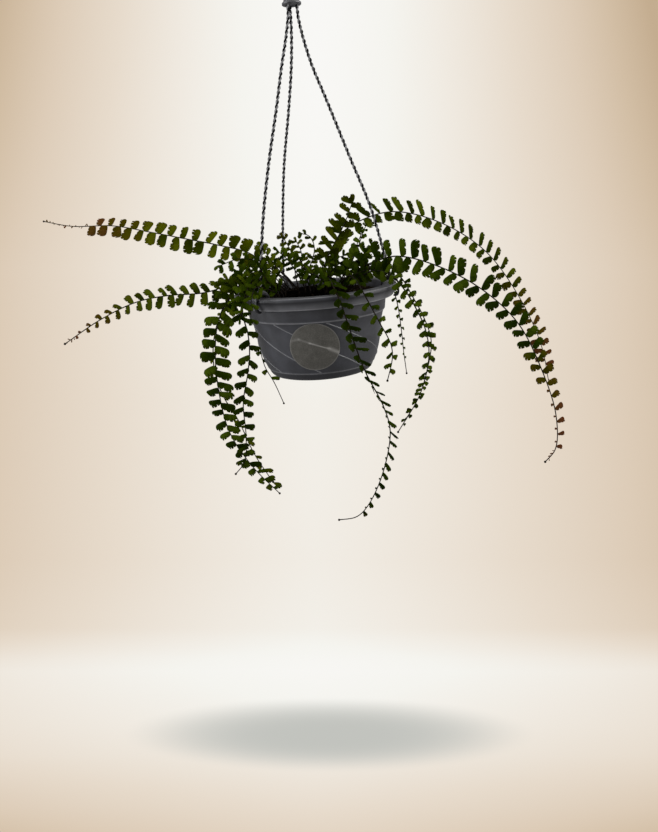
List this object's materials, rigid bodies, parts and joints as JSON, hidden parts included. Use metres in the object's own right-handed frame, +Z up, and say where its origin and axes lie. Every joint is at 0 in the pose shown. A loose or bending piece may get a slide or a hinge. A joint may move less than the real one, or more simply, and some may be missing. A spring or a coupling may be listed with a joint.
{
  "type": "hanging potted maidenhair fern",
  "caption": "Trailing maidenhair fern in a ribbed round plastic pot, hung by ropes that clip to its rim and meet at a small cap with a ceiling hook.",
  "frame": {"origin": "the point under the hook's arch where a ceiling hook or rod carries the whole thing", "axes": "+Z straight up along the hanger's axis, -Y towards the front that carries the label, +X to the right seen from the front"},
  "size_m": [0.6929, 0.2414, 0.6775],
  "materials": {
    "pot_plastic": "satin",
    "hanger_plastic": "satin",
    "rope_fibre": "twisted",
    "label_paper": "satin",
    "potting_mix": "rough",
    "leaf_dark": "satin",
    "leaf_mid": "satin",
    "leaf_olive": "satin",
    "leaf_pale": "satin"
  },
  "bodies": {
    "root": {"pot": "pot_plastic", "label": "label_paper", "soil": "potting_mix", "hanger": "hanger_plastic", "clip_right": "hanger_plastic", "clip_back": "hanger_plastic", "clip_left": "hanger_plastic", "rope_right": "rope_fibre", "rope_back": "rope_fibre", "rope_left": "rope_fibre", "frond_left_upper": "leaf_olive", "frond_left_lower": "leaf_mid", "frond_left_hanging": "leaf_dark", "frond_left_inner": "leaf_dark", "frond_left_thin": "leaf_dark", "frond_left_back": "leaf_dark", "frond_right_upper": "leaf_mid", "frond_right_lower": "leaf_dark", "frond_front_long": "leaf_dark", "frond_front_short": "leaf_dark", "frond_right_thin": "leaf_dark", "frond_right_hanging": "leaf_dark", "frond_right_inner": "leaf_dark", "frond_centre_upright": "leaf_olive", "sprout_upright": "leaf_dark", "crown_left": "leaf_dark", "crown_right": "leaf_dark", "crown_front": "leaf_dark", "crown_olive": "leaf_olive", "sprout_pale": "leaf_pale", "frond_back_left": "leaf_dark", "frond_back_middle": "leaf_dark", "frond_back_right": "leaf_dark"}
  },
  "joints": []
}
